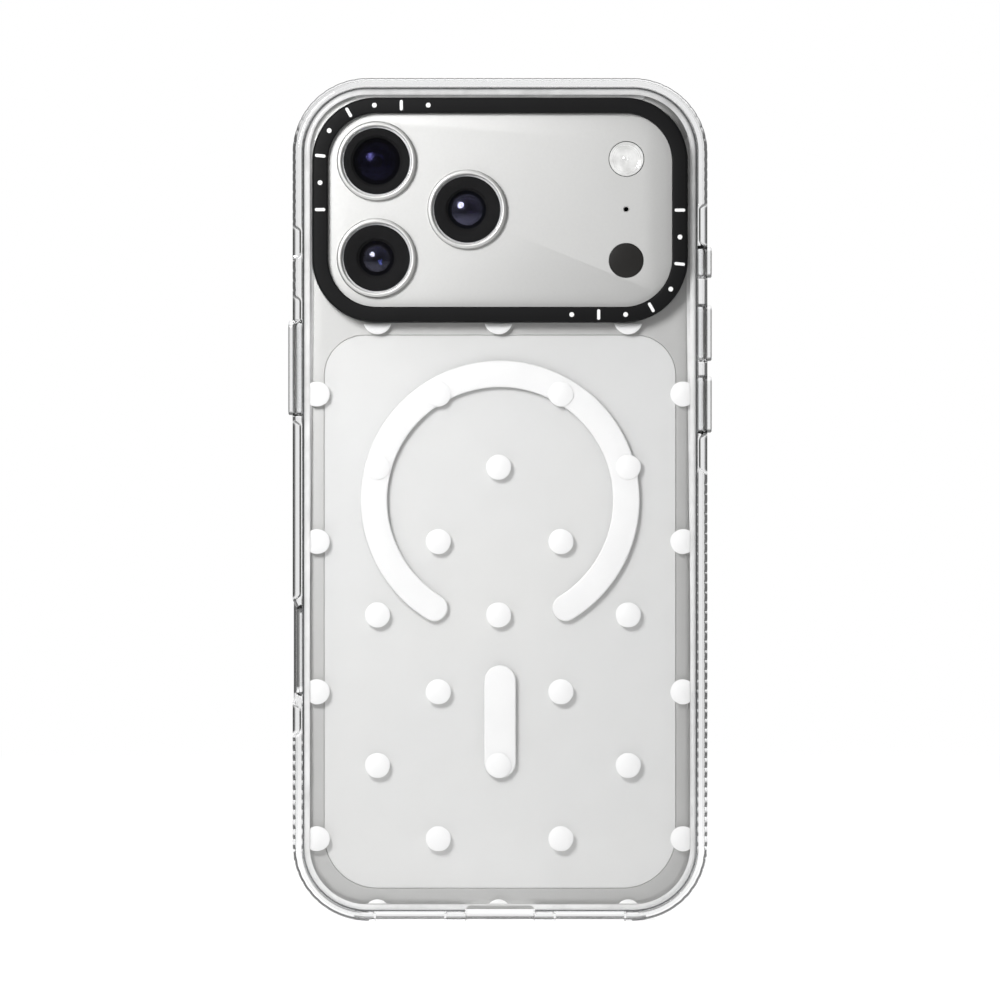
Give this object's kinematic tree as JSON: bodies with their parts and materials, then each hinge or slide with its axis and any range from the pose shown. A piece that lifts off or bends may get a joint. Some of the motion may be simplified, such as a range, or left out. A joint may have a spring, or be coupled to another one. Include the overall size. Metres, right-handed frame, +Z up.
{
  "type": "smartphone in clear case",
  "caption": "Large smartphone with a wide rear camera plateau, standing in a clear dotted bumper case with a black camera surround and a white magnetic charging ring.",
  "frame": {"origin": "on the ground under the middle of the case, standing on its charging-port end", "axes": "+Z up along the phone's length, +Y out of the screen, -Y out of the cameras, +X to the right seen from behind"},
  "size_m": [0.0844, 0.0148, 0.1679],
  "materials": {
    "clear_soft": "clear flexible polyurethane, polished",
    "clear_hard": "clear hard polycarbonate, polished",
    "black_matte": "matte black",
    "white_satin": "satin white",
    "magnet": "plated magnet, dull grey",
    "silver_anodised": "fine blasted, silver anodised",
    "back_glass": "frosted off-white glass",
    "black_glass": "polished black",
    "display": "dark display laminate",
    "lens_glass": "coated, polished",
    "flash_diffuser": "translucent white",
    "sensor_window": "dark smoked window",
    "steel": "plain",
    "battery": "black wrapped pouch cell, as dense as aluminium",
    "circuit_board": "solder mask",
    "copper": "enamelled copper wire",
    "module_plastic": "black moulded plastic"
  },
  "bodies": {
    "root": {"alignment_bar_cover": "white_satin", "alignment_bar_magnet": "magnet", "back_glass": "back_glass", "back_plate": "clear_hard", "battery": "battery", "bumper": "clear_soft", "camera_ring": "black_matte", "case_ring_magnet_1": "magnet", "case_ring_magnet_2": "magnet", "case_ring_magnet_3": "magnet", "case_ring_magnet_4": "magnet", "case_ring_magnet_5": "magnet", "case_ring_magnet_6": "magnet", "charging_coil": "copper", "depth_sensor_module": "circuit_board", "depth_sensor_window": "sensor_window", "display_cover_glass": "black_glass", "display_panel": "display", "earpiece_mesh": "steel", "earpiece_speaker": "module_plastic", "flash_diffuser": "flash_diffuser", "flash_module": "circuit_board", "front_camera": "module_plastic", "haptic_housing": "steel", "heat_spreader": "steel", "housing": "silver_anodised", "left_bottom_screw": "steel", "left_key_flex": "circuit_board", "loudspeaker": "module_plastic", "magnet_ring_cover": "white_satin", "main_board": "circuit_board", "phone_magnet_ring": "magnet", "port_shell": "steel", "port_tongue": "module_plastic", "processor_shield": "steel", "right_bottom_screw": "steel", "right_key_flex": "circuit_board", "tele_camera_module": "module_plastic", "tele_lens_glass": "lens_glass", "tele_lens_trim": "silver_anodised", "ultrawide_camera_module": "module_plastic", "ultrawide_lens_glass": "lens_glass", "ultrawide_lens_trim": "silver_anodised", "wide_camera_module": "module_plastic", "wide_lens_glass": "lens_glass", "wide_lens_trim": "silver_anodised"},
    "power_button": {"power_button": "silver_anodised"},
    "action_button": {"action_button": "silver_anodised"},
    "volume_up_button": {"volume_up_button": "silver_anodised"},
    "volume_down_button": {"volume_down_button": "silver_anodised"},
    "power_cap": {"power_cap": "clear_soft"},
    "action_cap": {"action_cap": "clear_soft"},
    "volume_up_cap": {"volume_up_cap": "clear_soft"},
    "volume_down_cap": {"volume_down_cap": "clear_soft"},
    "camera_button": {"camera_button": "silver_anodised"},
    "haptic_mass": {"haptic_mass": "magnet"}
  },
  "joints": [
    {"name": "power_button_press", "type": "slide", "parent": "root", "child": "power_button", "axis": [1, 0, 0], "range_m": [0, 0.00025], "stiffness_N_per_m": 4000, "springref_m": -0.00015},
    {"name": "power_cap_press", "type": "slide", "parent": "root", "child": "power_cap", "axis": [1, 0, 0], "range_m": [0, 0.00025]},
    {"name": "action_button_press", "type": "slide", "parent": "root", "child": "action_button", "axis": [-1, 0, 0], "range_m": [0, 0.00025], "stiffness_N_per_m": 4000, "springref_m": -0.00015},
    {"name": "action_cap_press", "type": "slide", "parent": "root", "child": "action_cap", "axis": [-1, 0, 0], "range_m": [0, 0.00025]},
    {"name": "volume_up_button_press", "type": "slide", "parent": "root", "child": "volume_up_button", "axis": [-1, 0, 0], "range_m": [0, 0.00025], "stiffness_N_per_m": 4000, "springref_m": -0.00015},
    {"name": "volume_up_cap_press", "type": "slide", "parent": "root", "child": "volume_up_cap", "axis": [-1, 0, 0], "range_m": [0, 0.00025]},
    {"name": "volume_down_button_press", "type": "slide", "parent": "root", "child": "volume_down_button", "axis": [-1, 0, 0], "range_m": [0, 0.00025], "stiffness_N_per_m": 4000, "springref_m": -0.00015},
    {"name": "volume_down_cap_press", "type": "slide", "parent": "root", "child": "volume_down_cap", "axis": [-1, 0, 0], "range_m": [0, 0.00025]},
    {"name": "camera_button_press", "type": "slide", "parent": "root", "child": "camera_button", "axis": [1, 0, 0], "range_m": [0, 0.00015], "stiffness_N_per_m": 4000, "springref_m": -0.00015},
    {"name": "haptic_mass_slide", "type": "slide", "parent": "root", "child": "haptic_mass", "axis": [1, 0, 0], "range_m": [-0.0005, 0.0005], "stiffness_N_per_m": 300}
  ],
  "couplings": [
    {"joint": "power_cap_press", "follows": "power_button_press", "ratio": 1},
    {"joint": "action_cap_press", "follows": "action_button_press", "ratio": 1},
    {"joint": "volume_up_cap_press", "follows": "volume_up_button_press", "ratio": 1},
    {"joint": "volume_down_cap_press", "follows": "volume_down_button_press", "ratio": 1}
  ]
}
